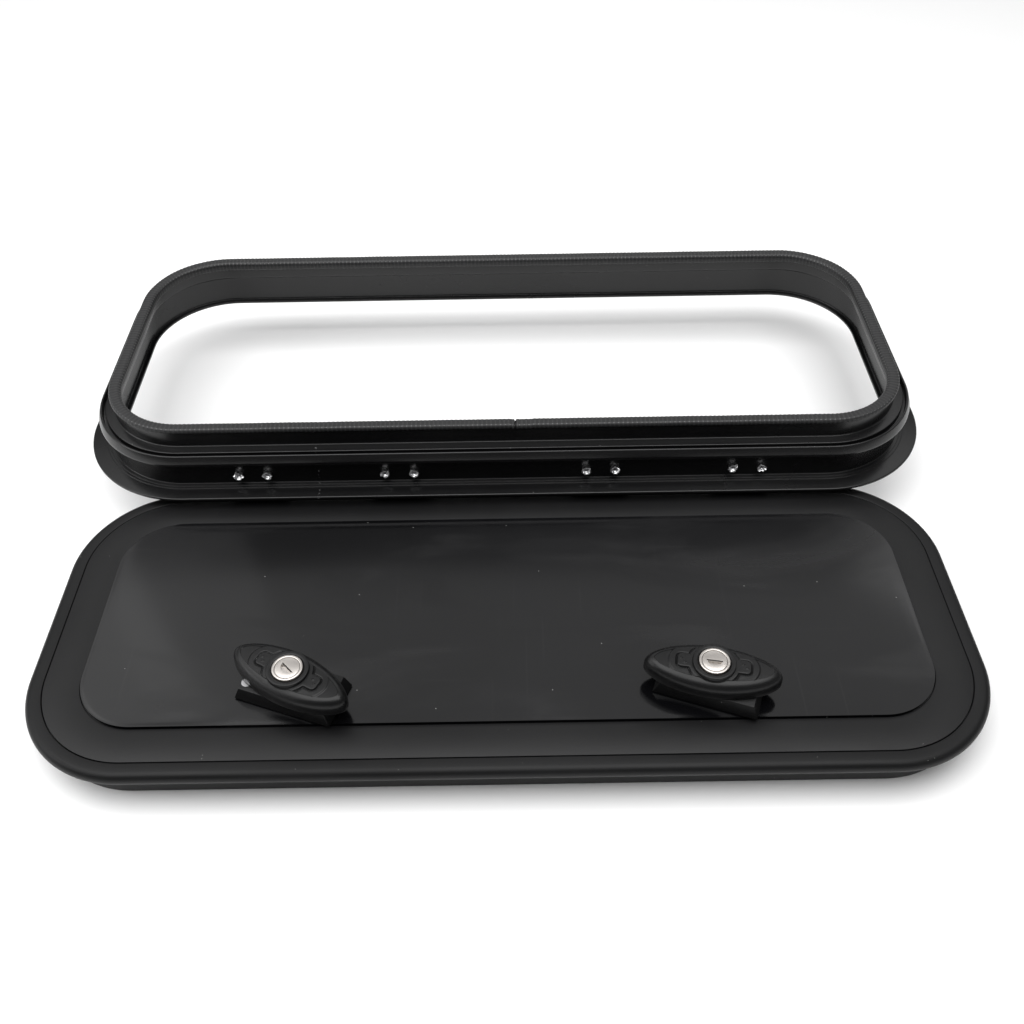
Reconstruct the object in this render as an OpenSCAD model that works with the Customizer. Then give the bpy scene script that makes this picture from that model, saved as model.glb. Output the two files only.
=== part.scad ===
// Deck hatch with a bent aluminium frame, a twin-hinged lid and two key-locked turn knobs.
// Drawn fully open: the lid lies face up and the deck frame stands beyond it, turned over.
// +X runs along the hinge line, +Y from the lid to the frame, +Z up. Millimetres.

/* [Overall] */
// Length of the frame's deck flange
flange_l = 610; // [480:5:760]
// Width of the frame's deck flange
flange_w = 260; // [210:5:400]
// Corner radius of the deck flange
flange_r = 81; // [70:1:100]
// Flange shown outside the closed lid
flange_margin = 16; // [15:0.5:24]
// How much rounder the lid's corners are than the flange's at that margin
corner_ease = 5; // [2:0.5:8]
// Gap between the lid's face and the flange when fully open
open_gap = 6; // [5:0.5:12]

/* [Frame section] */
// Thickness of the deck flange
flange_t = 2; // [1.5:0.1:3]
// Inset of the pocket wall's outer face from the flange edge
pocket_inset = 15; // [14.5:0.1:15.4]
// Thickness of the pocket wall
pocket_t = 2.4; // [1.8:0.1:3]
// Inward reach of the catch lip past the pocket wall
lip_reach = 3.6; // [3:0.1:4.2]
// Height of the ledge above the flange's back face
ledge_h = 28; // [24:0.5:34]
// Inset of the outer shoulder ring
shoulder_inset = 10.6; // [8:0.1:12]
// Height of the outer shoulder ring's face
shoulder_h = 7.2; // [5:0.1:9]
// Inset of the neck's outer face
neck_inset = 24; // [22:0.5:26]
// Thickness of the neck
neck_t = 2.2; // [1.6:0.1:3]
// Height of the neck's bare end above the flange's back face
neck_h = 42.2; // [38:0.2:60]
// Step height of the ribs at the foot of the wall
rib_step = 0.5; // [0.3:0.1:0.8]

/* [Edge trim] */
// Thickness of the trim's outer leg and cap
trim_t = 1.5; // [1.4:0.1:2.5]
// Length of the trim's outer leg
trim_out_h = 3.4; // [3.2:0.2:8]
// Thickness of the trim's inner bulb
bulb_t = 5; // [4.2:0.1:7]
// Length of the trim's inner bulb
bulb_h = 7.4; // [6:0.2:12]

/* [Lid] */
// Depth of the lid from its face to the end of its skirt
lid_h = 30; // [26:0.5:36]
// Width of the rubber rim seen from above
rim_w = 10.2; // [9.6:0.1:12]
// Height of the rubber rim
rim_h = 9.5; // [8:0.1:11]
// Width of the flat border between the rim and the panel
border_w = 22.8; // [18:0.5:24]
// Thickness of the border
border_t = 2; // [1.6:0.1:3]
// Inset of the skirt from the rim's outer edge
skirt_inset = 9.2; // [8.8:0.1:9.4]
// Thickness of the skirt
skirt_t = 1.8; // [1.4:0.1:2.5]
// Width of the hem at the skirt's end
hem_w = 9; // [8:0.5:12]
// Rise of the panel above the border
panel_rise = 1.6; // [1:0.1:3]
// Thickness of the panel
panel_t = 3; // [2.4:0.1:4]
// Thickness of the lid liner
liner_t = 2; // [1.5:0.1:3]

/* [Hinges] */
// How far the hinges and locks together sit to the right of the middle
fittings_x = -3.5; // [-10:0.5:10]
// Distance of each hinge's centre from the middle
hinge_x = 121; // [100:0.5:160]
// Length of each hinge
hinge_l = 140; // [110:1:150]
// Length of each frame knuckle
knuckle_l = 40; // [30:1:45]
// Outer radius of the knuckles
knuckle_r = 4; // [3.4:0.1:4.2]
// Radius of the hinge pin
pin_r = 1.6; // [1.2:0.1:2]
// Thickness of the hinge leaves
leaf_t = 1.5; // [1.2:0.1:1.8]
// Height of the rivets above the flange's back face
rivet_h = 9; // [7:0.5:12]

/* [Locks] */
// Distance of each lock from the middle
lock_x = 123; // [90:1:160]
// Distance of each lock from the lid's front edge
lock_inset = 55; // [49:0.5:60]
// Turn of the left knob, clockwise from the lid's length
left_turn = 29.4; // [0:0.2:45]
// Turn of the right knob, clockwise from the lid's length
right_turn = 10.2; // [0:0.2:45]
// Turn of both lock bases, clockwise from the lid's length
base_turn = 20; // [0:1:30]
// Length of the knob
knob_l = 80; // [64:1:90]
// Width of the knob
knob_w = 33; // [30:1:40]
// Height of the knob's domed body
knob_h = 11.6; // [9:0.1:16]
// Length of the lock base at its foot
base_l = 62; // [54:1:70]
// Width of the lock base at its foot
base_w = 31; // [28:0.5:36]
// Height of the lock base
base_h = 9; // [7:0.5:12]
// Inset of the base's top edge from its foot
base_taper = 3.5; // [2:0.5:4.5]
// Radius of the cylinder's face
cylinder_r = 9.05; // [8.5:0.05:9.5]
// Radius of the key plug
plug_r = 7.3; // [6.5:0.1:7.6]
// Radius of the threaded sleeve
sleeve_r = 8.5; // [8:0.1:9]
// Radius of the spindle
spindle_r = 5.5; // [5:0.1:6]
// Width of the cam
cam_w = 13; // [10:0.5:14]
// Thickness of the cam
cam_t = 3; // [2:0.5:4]

/* [Fits] */
// Radial running clearance of pins and spindles
run_clear = 0.05; // [0.02:0.01:0.1]
// Clearance between pieces that are pushed or bonded together
fit_clear = 0.1; // [0.05:0.01:0.2]
// Clearance between pieces that pass each other
pass_clear = 0.5; // [0.4:0.05:0.8]

/* [Hidden] */
$fn = 64;

// Lid outline, from the flange and its margin
lid_l = flange_l - 2 * flange_margin;
lid_w = flange_w - 2 * flange_margin;
lid_r = flange_r - flange_margin + corner_ease;

// Heights: the lid rests on its skirt at z = 0
face_z = lid_h;
flange_z = face_z + open_gap;
back_z = flange_z + flange_t;
closed_h = rim_h + 0.4;

// Hinge axis: a half turn about it carries the lid from open to closed
axis_out = 0;
axis_y = -flange_margin / 2;
axis_z = (flange_z - closed_h + face_z) / 2;
lid_y = axis_y - axis_out - lid_w / 2;
frame_y = axis_y + axis_out - flange_margin + flange_w / 2;
frame_front = frame_y - flange_w / 2;
lid_rear = lid_y + lid_w / 2;
lid_front = lid_y - lid_w / 2;

// Frame section
pocket_in = pocket_inset + pocket_t;
lip_in = pocket_in + lip_reach;
neck_in = neck_inset + neck_t;
ledge_t = 2;
channel_d = 4.5;
rib_foot = 4.6;
rib_mid = 2.8;
rib_top = 0.4;
shoulder_t = 1.4;
shoulder_foot = 1.6;
shoulder_lean = 2.2;
ring_t = 2;
ring_back = 0.8;
trim_round = 1.4;
bulb_round = 2.2;

// Lid section
panel_gap = 0.6;
panel_inset = rim_w + border_w;
shelf_w = 2.6;
shelf_t = 1.8;
tab_t = 1.6;
tab_w = 4.6;
tab_z = -4;
rebate_d = 2.3;
rim_groove = 0.4;
panel_low = panel_rise - panel_t;
panel_step_in = 3;
panel_step_h = 0.7;
border_web = 2.6;
notch_d = knuckle_r - axis_out + pass_clear;

// Hinge parts
pin_head_r = 2.7;
pin_head_t = 1;
leaf_top_h = 16;
leaf_foot_h = 3.2;
lid_leaf_l = hinge_l - 2 * knuckle_l - 2 * pass_clear;
lid_leaf_bend = face_z - 14.5;
rivet_r = 2;
rivet_head_r = 3.8;
rivet_head_t = 1.2;
rivet_tail_r = 2.75;
rivet_tail_l = 5;
rivet_out = [-61, -41, 41, 61];
lid_rivet_x = [-20, 20];
liner_screw_over = 3;
lid_rivet_z = skirt_t + liner_t + liner_screw_over + rivet_tail_r + 0.45;
lid_leaf_low = lid_rivet_z - 5;

// Lock levels, measured from the lid's face
gasket_t = 0.8;
base_z = panel_rise + gasket_t;
base_top = base_z + base_h;
knob_z = base_top + 0.6;
knob_side = 5.6;
hub_r = 12.6;
hub_rise = 2.2;
face_rise = 0.8;
knob_top = knob_z + knob_h;
hub_top = knob_top + hub_rise;
cyl_top = hub_top + face_rise;
spindle_flange_t = 2.4;
spindle_flange_r = 13.4;
cyl_z = knob_z + spindle_flange_t + fit_clear;
boss_r = 14.2;
shell_t = 3;
sleeve_low = -10.5;
washer_t = 1.2;
washer_r = 13.5;
nut_t = 6;
nut_af = 22;
cam_top = -(closed_h + flange_t + pass_clear);
cam_l = lock_inset - (pocket_in - flange_margin) - 1.1;
cam_boss_r = 9.5;
square_w = 8;
cam_slot_side = 34;
screw_u = 25;
screw_v = 8;
screw_rear_v = 1;
base_screw_r = 2;
base_head_r = 3.2;
base_head_t = 2.2;
base_head_z = base_top - base_head_t - 0.3;
gasket_inset = 0.8;
knob_screw_out = 11.4;
knob_screw_r = 1.2;
liner_screw_r = 1.5;
liner_head_r = 2.9;
hem_screw_in = skirt_inset + skirt_t + (hem_w - skirt_t) / 2;
hem_end = 19;
hem_pitch = (lid_l / 2 - lid_r - hem_end) / 2;
slot_clear = 1.5;
slot_over = 0.8;

module slab(len, wid, rad, low, high) {
    translate([0, 0, low]) linear_extrude(high - low) {
        square([len - 2 * rad, wid], center = true);
        square([len, wid - 2 * rad], center = true);
        for (sx = [-1, 1], sy = [-1, 1])
            translate([sx * (len / 2 - rad), sy * (wid / 2 - rad)]) circle(rad);
    }
}

// Sweeps a section round a rounded rectangle: x is the inset from the outline, y the height
module bent_ring(len, wid, rad) {
    for (k = [0 : 3]) {
        side = k % 2 == 0 ? len : wid;
        across = k % 2 == 0 ? wid : len;
        rotate([0, 0, 90 * k]) {
            translate([-(side / 2 - rad), -across / 2, 0])
                rotate([90, 0, 90]) linear_extrude(side - 2 * rad) children();
            translate([side / 2 - rad, across / 2 - rad, 0])
                rotate_extrude(angle = 90) translate([rad, 0]) mirror([1, 0]) children();
        }
    }
}

module at_frame() { translate([0, frame_y, back_z]) children(); }
module at_lid() { translate([0, lid_y, face_z]) children(); }

module frame_section() {
    shoulder_low = ledge_h - shoulder_h;
    ring_x = pocket_in - ring_back;
    polygon([
        [0, -flange_t], [0, 0], [pocket_inset - rib_foot, 0], [pocket_inset - rib_foot, rib_step],
        [pocket_inset - rib_mid, rib_step], [pocket_inset - rib_mid, 2 * rib_step],
        [pocket_inset - rib_top, 2 * rib_step], [pocket_inset, 3 * rib_step],
        [pocket_inset, shoulder_low - 1], [shoulder_inset, shoulder_low],
        [shoulder_inset, shoulder_low + shoulder_foot], [shoulder_inset + shoulder_lean, ledge_h],
        [shoulder_inset + shoulder_lean + shoulder_t, ledge_h],
        [shoulder_inset + shoulder_lean + shoulder_t, ledge_h - channel_d],
        [ring_x, ledge_h - channel_d], [ring_x, ledge_h], [neck_inset, ledge_h],
        [neck_inset, neck_h], [neck_in, neck_h], [neck_in, ledge_h - ledge_t],
        [ring_x + ring_t, ledge_h - ledge_t], [ring_x + ring_t, ledge_h - channel_d - 1.5],
        [pocket_in, ledge_h - channel_d - 2.5], [pocket_in, 0], [lip_in, 0], [lip_in, -flange_t]
    ]);
}

module frame_ring() {
    color([0.05, 0.05, 0.055]) difference() {
        at_frame() bent_ring(flange_l, flange_w, flange_r) frame_section();
        for (s = [-1, 1]) translate([hinge_at(s), 0, 0]) {
            translate([-hinge_l / 2 - 1, frame_front + pocket_in, flange_z - 1])
                cube([hinge_l + 2, lip_reach + 1, flange_t + 2]);
            for (x = rivet_out) translate([x, frame_front + pocket_inset - 1, back_z + rivet_h])
                rotate([-90, 0, 0]) cylinder(h = pocket_t + 2, r = rivet_r + run_clear);
        }
    }
}

module trim_section() {
    out_x = neck_inset - fit_clear;
    in_x = neck_in + fit_clear;
    cap = neck_h + fit_clear;
    top = cap + trim_t;
    low = top - bulb_h;
    far_x = in_x + bulb_t;
    near_x = out_x - trim_t;
    polygon([
        [out_x, cap], [out_x, top - trim_out_h], [near_x, top - trim_out_h + 0.4],
        [near_x, top - trim_round], [near_x + trim_round, top], [far_x - bulb_round, top],
        [far_x - bulb_round * 0.3, top - bulb_round * 0.3], [far_x, top - bulb_round],
        [far_x, low + bulb_round], [far_x - bulb_round * 0.3, low + bulb_round * 0.3],
        [far_x - bulb_round, low], [in_x, low], [in_x, cap]
    ]);
}

module edge_trim() {
    color([0.07, 0.07, 0.07]) at_frame() bent_ring(flange_l, flange_w, flange_r) trim_section();
}

module rivet(tail) {
    // Blind rivet along +Y: head at y = 0, pulled tail past the grip
    translate([0, -rivet_head_t, 0]) rotate([-90, 0, 0]) cylinder(h = rivet_head_t, r = rivet_head_r);
    difference() {
        union() {
            rotate([-90, 0, 0]) cylinder(h = tail, r = rivet_r);
            translate([0, tail, 0]) rotate([-90, 0, 0]) cylinder(h = rivet_tail_l, r = rivet_tail_r);
        }
        translate([0, tail + 2, 0]) rotate([-90, 0, 0]) cylinder(h = rivet_tail_l, r = 1.1);
    }
}

module knuckle(x, len) {
    translate([x, axis_y, axis_z]) rotate([0, 90, 0]) cylinder(h = len, r = knuckle_r);
}

module pin_bore(s) {
    translate([hinge_at(s) - hinge_l / 2 - 1, axis_y, axis_z])
        rotate([0, 90, 0]) cylinder(h = hinge_l + 2, r = pin_r + run_clear);
}

module hinge_frame_leaf(s) {
    leaf_y = frame_front + pocket_in;
    leaf_top = back_z + leaf_top_h;
    color([0.06, 0.06, 0.065]) difference() {
        union() {
            for (x = [-hinge_l / 2, hinge_l / 2 - knuckle_l]) {
                knuckle(hinge_at(s) + x, knuckle_l);
                translate([hinge_at(s) + x, leaf_y, axis_z]) cube([knuckle_l, leaf_t, leaf_top - axis_z]);
            }
            translate([hinge_at(s) - hinge_l / 2, leaf_y, back_z + leaf_foot_h])
                cube([hinge_l, leaf_t, leaf_top_h - leaf_foot_h]);
        }
        pin_bore(s);
        for (x = rivet_out) translate([hinge_at(s) + x, leaf_y - 1, back_z + rivet_h])
            rotate([-90, 0, 0]) cylinder(h = leaf_t + 2, r = rivet_r + run_clear);
    }
}

module hinge_lid_leaf(s) {
    x0 = hinge_at(s) - lid_leaf_l / 2;
    tang_y = axis_y - knuckle_r;
    skirt_y = lid_rear - skirt_inset;
    color([0.06, 0.06, 0.065]) difference() {
        union() {
            knuckle(x0, lid_leaf_l);
            translate([x0, tang_y, lid_leaf_bend]) cube([lid_leaf_l, leaf_t, axis_z - lid_leaf_bend]);
            translate([x0, skirt_y, lid_leaf_bend])
                cube([lid_leaf_l, tang_y + leaf_t - skirt_y, leaf_t]);
            translate([x0, skirt_y, lid_leaf_low])
                cube([lid_leaf_l, leaf_t, lid_leaf_bend + leaf_t - lid_leaf_low]);
        }
        pin_bore(s);
        for (x = lid_rivet_x) translate([hinge_at(s) + x, skirt_y - 1, lid_rivet_z])
            rotate([-90, 0, 0]) cylinder(h = leaf_t + 2, r = rivet_r + run_clear);
    }
}

module hinge_pin(s) {
    color("silver") translate([hinge_at(s) - hinge_l / 2, axis_y, axis_z]) rotate([0, 90, 0]) {
        cylinder(h = hinge_l, r = pin_r);
        for (z = [-pin_head_t, hinge_l]) translate([0, 0, z]) cylinder(h = pin_head_t, r = pin_head_r);
    }
}

module frame_rivets(s) {
    color("silver") for (x = rivet_out)
        translate([hinge_at(s) + x, frame_front + pocket_in + leaf_t, back_z + rivet_h])
            mirror([0, 1, 0]) rivet(pocket_t + leaf_t);
}

module lid_rivets(s) {
    color("silver") for (x = lid_rivet_x)
        translate([hinge_at(s) + x, lid_rear - skirt_inset + leaf_t, lid_rivet_z])
            mirror([0, 1, 0]) rivet(leaf_t + skirt_t);
}

module lid_frame_section() {
    inner = skirt_inset + skirt_t;
    polygon([
        [rim_w + rim_groove, 0], [panel_inset - panel_gap, 0], [panel_inset - panel_gap, panel_low],
        [panel_inset + shelf_w, panel_low], [panel_inset + shelf_w, panel_low - shelf_t],
        [panel_inset - border_web, panel_low - shelf_t], [panel_inset - border_web, -border_t],
        [inner, -border_t],
        [inner, -lid_h + skirt_t], [skirt_inset + hem_w, -lid_h + skirt_t],
        [skirt_inset + hem_w, -lid_h], [skirt_inset, -lid_h], [skirt_inset, tab_z - tab_t],
        [skirt_inset - tab_w, tab_z - tab_t], [skirt_inset - tab_w, tab_z], [skirt_inset, tab_z],
        [skirt_inset, -rebate_d], [rim_w + rim_groove, -rebate_d]
    ]);
}

// Hem screws sit round the skirt, in the middle of the hem and clear of the corners
function hem_spots() = [
    for (k = [-2 : 2], s = [-1, 1]) [k * hem_pitch, s * (lid_w / 2 - hem_screw_in)],
    for (s = [-1, 1]) [s * (lid_l / 2 - hem_screw_in), 0]
];

module lid_frame() {
    color([0.07, 0.07, 0.075]) difference() {
        at_lid() bent_ring(lid_l, lid_w, lid_r) lid_frame_section();
        // Slots in the front skirt that the cams swing out through
        for (s = [-1, 1]) translate([
            lock_at(s) - cam_w / 2 - slot_clear, lid_front + skirt_inset - 1,
            face_z + cam_top - cam_t - slot_over
        ]) cube([cam_slot_side + cam_w / 2 + slot_clear, skirt_t + 2, cam_t + 2 * slot_over]);
        for (s = [-1, 1], x = lid_rivet_x)
            translate([hinge_at(s) + x, lid_rear - skirt_inset - skirt_t - 1, lid_rivet_z])
                rotate([-90, 0, 0]) cylinder(h = skirt_t + 2, r = rivet_r + run_clear);
        for (p = hem_spots()) translate([p[0], lid_y + p[1], -1])
            cylinder(h = skirt_t + 2, r = liner_head_r + fit_clear);
    }
}

module lid_panel() {
    len = lid_l - 2 * panel_inset;
    wid = lid_w - 2 * panel_inset;
    rad = lid_r - panel_inset;
    color([0.02, 0.02, 0.02]) difference() {
        at_lid() {
            slab(len, wid, rad, panel_low, panel_rise - panel_step_h);
            slab(len - 2 * panel_step_in, wid - 2 * panel_step_in, rad - panel_step_in,
                panel_low, panel_rise);
        }
        for (s = [-1, 1]) at_lock(s) {
            translate([0, 0, panel_low - 1]) cylinder(h = panel_t + 2, r = sleeve_r + 0.2);
            at_base_screws() translate([0, 0, panel_low - 1])
                cylinder(h = panel_t + 2, r = base_screw_r + run_clear);
        }
    }
}

module rim_section() {
    difference() {
        union() {
            translate([rim_h / 2, -rim_h / 2]) circle(rim_h / 2);
            translate([rim_h / 2, -rim_h]) square([skirt_inset - fit_clear - rim_h / 2, rim_h]);
            translate([rim_h / 2, -rebate_d + fit_clear]) square([rim_w - rim_h / 2, rebate_d - fit_clear]);
        }
        translate([skirt_inset - tab_w - fit_clear, tab_z - tab_t - fit_clear])
            square([tab_w + 1, tab_t + 2 * fit_clear]);
        // The round back is cut flat where it meets the skirt
        translate([skirt_inset - fit_clear, -rim_h]) square([rim_w, rim_h - rebate_d + fit_clear]);
    }
}

module rim_seal() {
    color([0.08, 0.08, 0.08]) difference() {
        at_lid() bent_ring(lid_l, lid_w, lid_r) rim_section();
        // Room for the hinge knuckles in the rear edge
        for (s = [-1, 1]) translate([hinge_at(s) - hinge_l / 2 - 2, lid_rear - notch_d, face_z - rim_h - 1])
            cube([hinge_l + 4, notch_d + 1, rim_h + 2]);
    }
}

module lid_liner() {
    inset = skirt_inset + skirt_t + 0.2;
    low = -lid_h + skirt_t;
    color([0.12, 0.12, 0.12]) difference() {
        at_lid() slab(lid_l - 2 * inset, lid_w - 2 * inset, lid_r - inset, low, low + liner_t);
        for (p = hem_spots()) translate([p[0], lid_y + p[1], 0])
            cylinder(h = skirt_t + liner_t + 1, r = liner_screw_r + run_clear);
    }
}

module liner_screws() {
    color("silver") for (p = hem_spots()) translate([p[0], lid_y + p[1], 0.1]) {
        cylinder(h = skirt_t - 0.1, r = liner_head_r);
        cylinder(h = skirt_t + liner_t + liner_screw_over, r = liner_screw_r);
    }
}

function hinge_at(s) = fittings_x + s * hinge_x;

function lock_at(s) = fittings_x + s * lock_x;

module at_lock(s) { translate([lock_at(s), lid_front + lock_inset, face_z]) children(); }
function turn_of(s) = s < 0 ? -left_turn : -right_turn;

// The two base screws stand on the base's diagonal
module at_base_screws() {
    rotate([0, 0, -base_turn]) for (p = [[-screw_u, -screw_v], [screw_u, screw_rear_v]]) translate(p) children();
}

module trapezium(foot, high, taper) {
    polygon([[-foot / 2, 0], [foot / 2, 0], [foot / 2 - taper, high], [taper - foot / 2, high]]);
}

module tapered_block(len, wid, high, taper) {
    intersection() {
        translate([0, wid / 2, 0]) rotate([90, 0, 0]) linear_extrude(wid) trapezium(len, high, taper);
        translate([-len / 2, 0, 0]) rotate([90, 0, 90]) linear_extrude(len) trapezium(wid, high, taper / 2);
    }
}

module lock_base(s) {
    color([0.06, 0.06, 0.06]) at_lock(s) difference() {
        union() {
            translate([0, 0, base_z]) rotate([0, 0, -base_turn])
                tapered_block(base_l, base_w, base_h, base_taper);
            translate([0, 0, sleeve_low]) cylinder(h = base_z + 1 - sleeve_low, r = sleeve_r);
        }
        translate([0, 0, sleeve_low - 1])
            cylinder(h = base_top + 2 - sleeve_low, r = spindle_r + run_clear);
        at_base_screws() {
            translate([0, 0, base_z - 1]) cylinder(h = base_h + 2, r = base_screw_r + run_clear);
            translate([0, 0, base_head_z]) cylinder(h = base_h, r = base_head_r + fit_clear);
        }
    }
}

module base_gasket(s) {
    color([0.1, 0.1, 0.1]) at_lock(s) difference() {
        rotate([0, 0, -base_turn])
            translate([gasket_inset - base_l / 2, gasket_inset - base_w / 2, panel_rise])
                cube([base_l - 2 * gasket_inset, base_w - 2 * gasket_inset, gasket_t]);
        translate([0, 0, panel_rise - 1]) cylinder(h = gasket_t + 2, r = sleeve_r + fit_clear);
        at_base_screws() translate([0, 0, panel_rise - 1])
            cylinder(h = gasket_t + 2, r = base_screw_r + run_clear);
    }
}

module base_screws(s) {
    low = panel_low - 3;
    color("silver") at_lock(s) at_base_screws() {
        translate([0, 0, low]) cylinder(h = base_head_z - low, r = base_screw_r);
        translate([0, 0, base_head_z]) cylinder(h = base_head_t, r = base_head_r);
    }
}

module lock_washer(s) {
    color("silver") at_lock(s) translate([0, 0, panel_low - washer_t]) difference() {
        cylinder(h = washer_t, r = washer_r);
        translate([0, 0, -1]) cylinder(h = washer_t + 2, r = sleeve_r + fit_clear);
    }
}

module lock_nut(s) {
    color("gainsboro") at_lock(s) translate([0, 0, panel_low - washer_t - nut_t]) difference() {
        cylinder(h = nut_t, r = nut_af / 2 / cos(30), $fn = 6);
        translate([0, 0, -1]) cylinder(h = nut_t + 2, r = sleeve_r + run_clear);
    }
}

function oval(len, wid) = [for (a = [0 : 7.5 : 352.5]) [len / 2 * cos(a), wid / 2 * sin(a)]];

module oval_slab(len, wid, low, high) {
    translate([0, 0, low]) linear_extrude(high - low) polygon(oval(len, wid));
}

module knob(s) {
    side_top = knob_z + knob_side;
    color([0.05, 0.05, 0.05]) at_lock(s) rotate([0, 0, turn_of(s)]) difference() {
        union() {
            oval_slab(knob_l, knob_w, knob_z, side_top);
            hull() {
                oval_slab(knob_l, knob_w, side_top - 0.1, side_top);
                oval_slab(knob_l * 0.93, knob_w * 0.86, knob_z + knob_h * 0.8, knob_z + knob_h * 0.82);
                oval_slab(knob_l * 0.74, knob_w * 0.6, knob_top - 0.1, knob_top);
            }
            cylinder(h = hub_top, r = hub_r);
        }
        translate([0, 0, -1]) cylinder(h = knob_z + 1, r = knob_l);
        difference() {
            oval_slab(knob_l - 2 * shell_t, knob_w - 2 * shell_t, knob_z - 1, side_top - 0.6);
            cylinder(h = hub_top, r = boss_r);
        }
        cylinder(h = hub_top + 1, r = cylinder_r + run_clear);
        cylinder(h = cyl_z, r = spindle_flange_r + fit_clear);
        for (x = [-1, 1]) translate([x * knob_screw_out, 0, knob_z])
            cylinder(h = spindle_flange_t + 6, r = knob_screw_r + run_clear);
    }
}

module lock_cylinder(s) {
    color("silver") at_lock(s) rotate([0, 0, turn_of(s)]) difference() {
        translate([0, 0, cyl_z]) cylinder(h = cyl_top - cyl_z, r = cylinder_r);
        translate([0, 0, cyl_z + 1]) cylinder(h = cyl_top, r = plug_r + run_clear);
        cylinder(h = cyl_top, r = 3);
    }
}

module key_plug(s) {
    plug_z = cyl_z + 1 + fit_clear;
    plug_top = cyl_top - 0.2;
    turn = s < 0 ? turn_of(s) - 18 : turn_of(s);
    color("gainsboro") at_lock(s) rotate([0, 0, turn]) difference() {
        union() {
            translate([0, 0, plug_z]) cylinder(h = plug_top - plug_z, r = plug_r);
            translate([0, 0, cyl_z + fit_clear]) cylinder(h = 2, r = 3 - run_clear);
        }
        translate([-4.6, -0.6, plug_top - 8]) cube([9.2, 1.2, 9]);
    }
}

module spindle(s) {
    square_low = cam_top - cam_t + 0.2;
    color("darkgray") at_lock(s) rotate([0, 0, turn_of(s)]) difference() {
        union() {
            translate([0, 0, knob_z]) cylinder(h = spindle_flange_t, r = spindle_flange_r);
            translate([0, 0, cam_top]) cylinder(h = knob_z + 1 - cam_top, r = spindle_r);
            translate([-square_w / 2, -square_w / 2, square_low])
                cube([square_w, square_w, cam_top + 1 - square_low]);
        }
        translate([0, 0, square_low - 1]) cylinder(h = 13, r = base_screw_r + run_clear);
        for (x = [-1, 1]) translate([x * knob_screw_out, 0, knob_z - 1]) {
            cylinder(h = spindle_flange_t + 2, r = knob_screw_r + run_clear);
            cylinder(h = 2.2, r = knob_screw_r + 0.7);
        }
    }
}

module knob_screws(s) {
    color("silver") at_lock(s) rotate([0, 0, turn_of(s)]) for (x = [-1, 1])
        translate([x * knob_screw_out, 0, knob_z + 0.1]) {
            cylinder(h = spindle_flange_t + 5, r = knob_screw_r);
            cylinder(h = 1, r = knob_screw_r + 0.6);
        }
}

module cam(s) {
    color("silver") at_lock(s) rotate([0, 0, turn_of(s)]) translate([0, 0, cam_top - cam_t]) difference() {
        union() {
            cylinder(h = cam_t, r = cam_boss_r);
            translate([0, -cam_w / 2, 0]) cube([cam_l - cam_w / 2, cam_w, cam_t]);
            translate([cam_l - cam_w / 2, 0, 0]) cylinder(h = cam_t, r = cam_w / 2);
        }
        translate([-square_w / 2 - fit_clear, -square_w / 2 - fit_clear, -1])
            cube([square_w + 2 * fit_clear, square_w + 2 * fit_clear, cam_t + 2]);
    }
}

module cam_screw(s) {
    head_z = cam_top - cam_t;
    color("silver") at_lock(s) {
        translate([0, 0, head_z - 2.5]) cylinder(h = 2.5, r = 7);
        translate([0, 0, head_z - 1]) cylinder(h = 11, r = base_screw_r);
    }
}

frame_ring();
edge_trim();
hinge_frame_leaf(-1);  // hinge_frame_leaf_left
hinge_frame_leaf(1);  // hinge_frame_leaf_right
hinge_lid_leaf(-1);  // hinge_lid_leaf_left
hinge_lid_leaf(1);  // hinge_lid_leaf_right
hinge_pin(-1);  // hinge_pin_left
hinge_pin(1);  // hinge_pin_right
frame_rivets(-1);  // frame_rivets_left
frame_rivets(1);  // frame_rivets_right
lid_rivets(-1);  // lid_rivets_left
lid_rivets(1);  // lid_rivets_right
lid_frame();
lid_panel();
rim_seal();
lid_liner();
liner_screws();
lock_base(-1);  // lock_base_left
lock_base(1);  // lock_base_right
base_gasket(-1);  // base_gasket_left
base_gasket(1);  // base_gasket_right
base_screws(-1);  // base_screws_left
base_screws(1);  // base_screws_right
lock_washer(-1);  // lock_washer_left
lock_washer(1);  // lock_washer_right
lock_nut(-1);  // lock_nut_left
lock_nut(1);  // lock_nut_right
knob(-1);  // knob_left
knob(1);  // knob_right
lock_cylinder(-1);  // lock_cylinder_left
lock_cylinder(1);  // lock_cylinder_right
key_plug(-1);  // key_plug_left
key_plug(1);  // key_plug_right
spindle(-1);  // spindle_left
spindle(1);  // spindle_right
knob_screws(-1);  // knob_screws_left
knob_screws(1);  // knob_screws_right
cam(-1);  // cam_left
cam(1);  // cam_right
cam_screw(-1);  // cam_screw_left
cam_screw(1);  // cam_screw_right
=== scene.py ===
import math
import random

import bmesh
import bpy
from mathutils import Matrix, Vector, noise


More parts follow.
